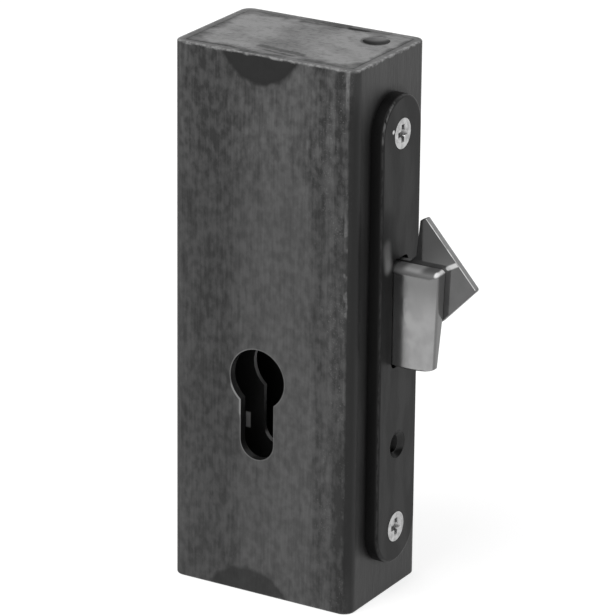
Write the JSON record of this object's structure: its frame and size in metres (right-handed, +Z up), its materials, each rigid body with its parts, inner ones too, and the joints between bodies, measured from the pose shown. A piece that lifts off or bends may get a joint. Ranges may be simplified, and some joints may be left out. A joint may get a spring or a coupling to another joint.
{
  "type": "gate lock",
  "caption": "Sliding-gate hook lock in a welded steel box, with a profile-cylinder keyhole, a raised black forend and a bolt whose hook swings up as it is thrown.",
  "frame": {"origin": "middle of the box's underside", "axes": "+Z up along the box, +X out of the forend the way the hook comes out, -Y the keyhole side seen in the picture"},
  "size_m": [0.0877, 0.04, 0.164],
  "materials": {
    "mill_steel": "uncoated tube with dark mill scale",
    "plate_steel": "uncoated plate, ground flush",
    "weld_metal": "ground weld with a heat mark",
    "black_forend": "semi-gloss black coat",
    "case_sheet": "dark coated sheet",
    "zinc_steel": "zinc plated",
    "bright_steel": "turned bright steel",
    "spring_steel": "blued spring steel",
    "nickel_cast": "satin nickel plate on cast steel",
    "polished_steel": "polished plate"
  },
  "bodies": {
    "case": {"box_tube": "mill_steel", "top_end_plate": "plate_steel", "bottom_end_plate": "plate_steel", "end_plate_welds": "weld_metal", "forend": "black_forend", "forend_screws": "zinc_steel", "weld_nuts": "mill_steel", "lock_case": "case_sheet", "lock_cover": "case_sheet", "case_pillars": "zinc_steel", "cover_screws": "zinc_steel", "hook_guide_pin": "bright_steel", "bolt_guide_stud": "bright_steel", "lever_pivot_pin": "bright_steel", "lever_spacers": "bright_steel", "detent_spring": "spring_steel", "spring_rivet": "bright_steel"},
    "bolt": {"bolt_block": "nickel_cast", "bolt_tail": "zinc_steel", "bolt_rivets": "bright_steel", "hook_pivot_pin": "bright_steel", "hook_retaining_ring": "spring_steel"},
    "hook": {"hook_plate": "polished_steel"},
    "driver": {"driver_lever": "zinc_steel", "driver_pin": "bright_steel"}
  },
  "joints": [
    {"name": "bolt_slide", "type": "slide", "parent": "case", "child": "bolt", "axis": [1, 0, 0], "range_m": [-0.0165, 0]},
    {"name": "hook_swing", "type": "hinge", "parent": "bolt", "child": "hook", "pos_m": [0.023, 0, 0.099], "axis": [0, 1, 0], "range_deg": [0, 45]},
    {"name": "driver_swing", "type": "hinge", "parent": "case", "child": "driver", "pos_m": [-0.00125, 0, 0.1225], "axis": [0, 1, 0], "range_deg": [0, 28.52], "deforming": ["detent_spring"]}
  ],
  "couplings": [
    {"joint": "hook_swing", "follows": "bolt_slide", "rad_per_m": -47.599},
    {"joint": "driver_swing", "follows": "bolt_slide", "rad_per_m": -30.161}
  ]
}
